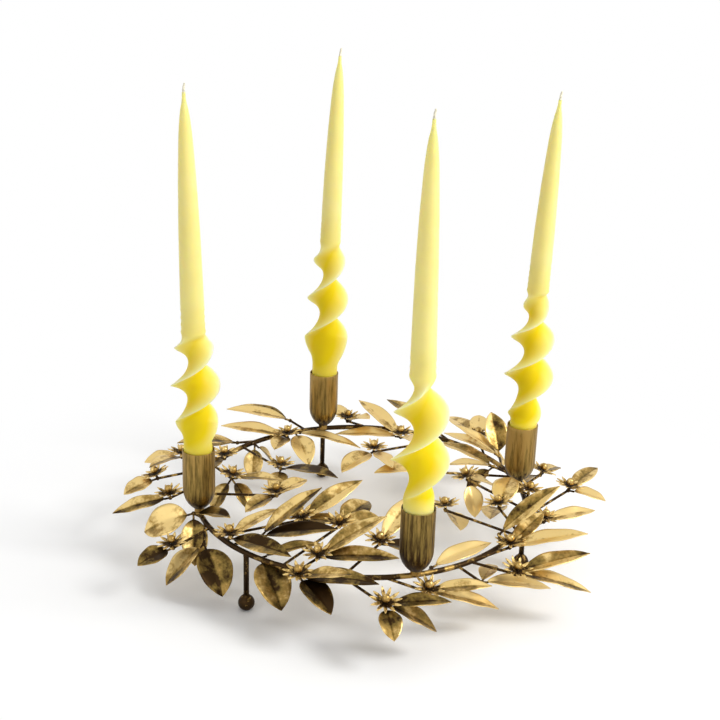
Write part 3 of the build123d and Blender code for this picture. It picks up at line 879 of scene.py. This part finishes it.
class HOLDER_OT_wicks(bpy.types.Operator):
    """Braid the wicks"""
    bl_idname = "holder.wicks"
    bl_label = "Wicks"

    def execute(self, context):
        cotton = waxed_cotton()
        for side in SIDES:
            base, axis, tall, rim, _ = candle_form(side)
            points = np.array([v.co for v in frame["nodes"][f"{side}_wick"].data.vertices])
            top = (points @ axis).max() - base @ axis
            east, north = across_axis(axis)
            start = tall - WICK_IN_WAX
            rings = []
            for h in np.linspace(start, top, WICK_ROWS):
                free = max((h - tall) / (top - tall), 0)
                middle = base + bowed(side, h, tall, rim)
                lean = WICK_LEAN * free**2
                for k in range(WICK_ABOUT):
                    a = tau * k / WICK_ABOUT
                    radius = WICK_RADIUS * (1 - WICK_TAPER * free**3)
                    radius *= 1 + STRAND_DEPTH * cos(STRANDS * a + STRAND_TURN * h)
                    aside = east * (radius * cos(a) + lean) + north * radius * sin(a)
                    rings.append(middle + axis * h + aside)
            foot = base + bowed(side, start, tall, rim) + axis * start
            points, faces = capped_tube(rings, WICK_ABOUT, foot, middle + axis * top + east * WICK_LEAN)
            piece(f"{side}_wick_braided", points, faces, cotton, f"{side}_taper",
                  [f"{side}_wick"])
        return {"FINISHED"}


# Stage

LENS, SENSOR = 65.97, 36  # millimetres
CAMERA_AWAY = 0.98435
CAMERA_TARGET = Vector((-0.0045, 0, 0.15724))
CAMERA_RISE = radians(21.06)
CAMERA_SIDE = radians(-15.74)
CAMERA_ROLL = radians(1.84)
BRIGHT_SIDE = Vector((0.58, 0.48, 0.66))  # the large soft light stands to the right, behind and above
# How light the room is, from the side away from that light to the side of it
ROOM_SHADES = ((0.0, 0.13), (0.36, 0.24), (0.6, 0.55), (0.8, 0.95), (1.0, 1.0))
# Place, width in metres and watts of each lamp
LAMPS = {
    "key_lamp": ((1.15, -0.8, 1.3), 0.6, 19),
    "fill_lamp": ((-1.4, -1.1, 1.0), 1.2, 5),
}
LAMP_AIM = Vector((0, 0, 0.1))
FLOOR_HALF = 4.0
SHADE_NEAR, SHADE_FAR = 0.15, 0.40  # the floor fades from its shaded paper to plain white between these


def shows_background(tree):
    """One for rays that should meet the plain white background: seen straight, in metal or through glass."""
    ray = add(tree, "LightPath").outputs
    seen = add(tree, "Math", {0: ray["Is Camera Ray"], 1: ray["Is Glossy Ray"]}, operation="MAXIMUM")
    seen = add(tree, "Math", {0: seen.outputs[0], 1: ray["Is Transmission Ray"]}, operation="MAXIMUM")
    return seen.outputs[0]


def lay_floor(scene):
    """A sheet of pale paper that takes the shadow near the holder and is plain white farther off."""
    _, tones = settings()
    mesh = bpy.data.meshes.new("floor")
    corners = [(x * FLOOR_HALF, y * FLOOR_HALF, 0) for x, y in ((-1, -1), (1, -1), (1, 1), (-1, 1))]
    mesh.from_pydata(corners, [], [(0, 1, 2, 3)])
    floor = bpy.data.objects.new("floor", mesh)
    scene.collection.objects.link(floor)
    paper, tree, out = fresh("white_paper_sweep")
    away = add(tree, "VectorMath", {0: add(tree, "TexCoord").outputs["Object"]}, operation="LENGTH")
    far = add(tree, "MapRange", {
        "Value": away.outputs["Value"], "From Min": SHADE_NEAR, "From Max": SHADE_FAR},
        interpolation_type="SMOOTHSTEP")
    blank = add(tree, "Math", {0: shows_background(tree), 1: far.outputs["Result"]}, operation="MULTIPLY")
    matte = add(tree, "BsdfDiffuse", {"Color": (*tones.floor, 1)})
    white = add(tree, "Emission", {"Color": (1, 1, 1, 1), "Strength": 1.0})
    shown = add(tree, "MixShader", {"Fac": blank.outputs[0], 1: matte.outputs[0], 2: white.outputs[0]})
    tree.links.new(shown.outputs[0], out.inputs["Surface"])
    mesh.materials.append(paper)


def light_room(scene):
    """A room that is bright on one side, behind a background that is seen as plain white."""
    world = bpy.data.worlds.new("studio")
    scene.world = world
    world.use_nodes = True
    tree = world.node_tree
    tree.nodes.clear()
    way = add(tree, "TexCoord").outputs["Generated"]
    facing = add(tree, "VectorMath", {0: way, 1: BRIGHT_SIDE}, operation="DOT_PRODUCT")
    share = multiply_add(tree, facing.outputs["Value"], 0.5, 0.5)
    shade = ramp(
        add(tree, "ValToRGB", {"Fac": share}), *((place, grey(value)) for place, value in ROOM_SHADES))
    room = add(tree, "Background", {"Color": shade.outputs["Color"], "Strength": 1.0})
    white = add(tree, "Background", {"Color": (1, 1, 1, 1), "Strength": 1.0})
    mixed = add(tree, "MixShader", {
        "Fac": shows_background(tree), 1: room.outputs[0], 2: white.outputs[0]})
    tree.links.new(mixed.outputs[0], tree.nodes.new("ShaderNodeOutputWorld").inputs["Surface"])


def set_lamps(scene):
    """Two soft square lamps that look at the wreath."""
    for name, (place, size, watts) in LAMPS.items():
        data = bpy.data.lights.new(name, "AREA")
        data.energy = watts
        data.size = size
        made = bpy.data.objects.new(name, data)
        made.location = place
        made.rotation_euler = (LAMP_AIM - Vector(place)).to_track_quat("-Z", "Y").to_euler()
        scene.collection.objects.link(made)


def set_camera(scene):
    """The camera of the photograph."""
    level = cos(CAMERA_RISE)
    back = Vector((sin(CAMERA_SIDE) * level, -cos(CAMERA_SIDE) * level, sin(CAMERA_RISE)))
    right = Vector((cos(CAMERA_SIDE), sin(CAMERA_SIDE), 0))
    turn = Matrix((right, back.cross(right), back)).transposed().to_4x4()
    roll = Matrix.Rotation(CAMERA_ROLL, 4, "Z")
    data = bpy.data.cameras.new("camera")
    data.sensor_width = SENSOR
    data.lens = LENS
    data.clip_start = 0.01
    camera = bpy.data.objects.new("camera", data)
    scene.collection.objects.link(camera)
    camera.matrix_world = Matrix.Translation(CAMERA_TARGET + back * CAMERA_AWAY) @ turn @ roll
    scene.camera = camera


class HOLDER_OT_stage(bpy.types.Operator):
    """Lay the pale floor and set the lamps and the camera"""
    bl_idname = "holder.stage"
    bl_label = "Stage"

    def execute(self, context):
        scene = context.scene
        scene.view_settings.view_transform = "Standard"
        lay_floor(scene)
        light_room(scene)
        set_lamps(scene)
        set_camera(scene)
        return {"FINISHED"}


STEPS = (
    HOLDER_OT_ring, HOLDER_OT_legs, HOLDER_OT_cups, HOLDER_OT_leaves, HOLDER_OT_blossoms,
    HOLDER_OT_candles, HOLDER_OT_wicks, HOLDER_OT_stage)


class HOLDER_PT_panel(bpy.types.Panel):
    """Lists the pieces of the candle holder"""
    bl_idname = "HOLDER_PT_panel"
    bl_label = "Candle Holder"
    bl_space_type = "VIEW_3D"
    bl_region_type = "UI"
    bl_category = "Candle Holder"

    def draw(self, context):
        for step in STEPS:
            self.layout.operator(step.bl_idname)
        for group in (context.scene.holder_sizes, context.scene.holder_colours):
            box = self.layout.box()
            for key in group.__annotations__:
                box.prop(group, key)


CLASSES = (HolderSizes, HolderColours, *STEPS, HOLDER_PT_panel)


def register():
    for kind in CLASSES:
        bpy.utils.register_class(kind)
    bpy.types.Scene.holder_sizes = PointerProperty(type=HolderSizes)
    bpy.types.Scene.holder_colours = PointerProperty(type=HolderColours)


def unregister():
    del bpy.types.Scene.holder_sizes
    del bpy.types.Scene.holder_colours
    for kind in reversed(CLASSES):
        bpy.utils.unregister_class(kind)


def main():
    register()
    bpy.ops.holder.ring()
    bpy.ops.holder.legs()
    bpy.ops.holder.cups()
    bpy.ops.holder.leaves()
    bpy.ops.holder.blossoms()
    bpy.ops.holder.candles()
    bpy.ops.holder.wicks()
    bpy.ops.holder.stage()


if __name__ == "__main__":
    main()
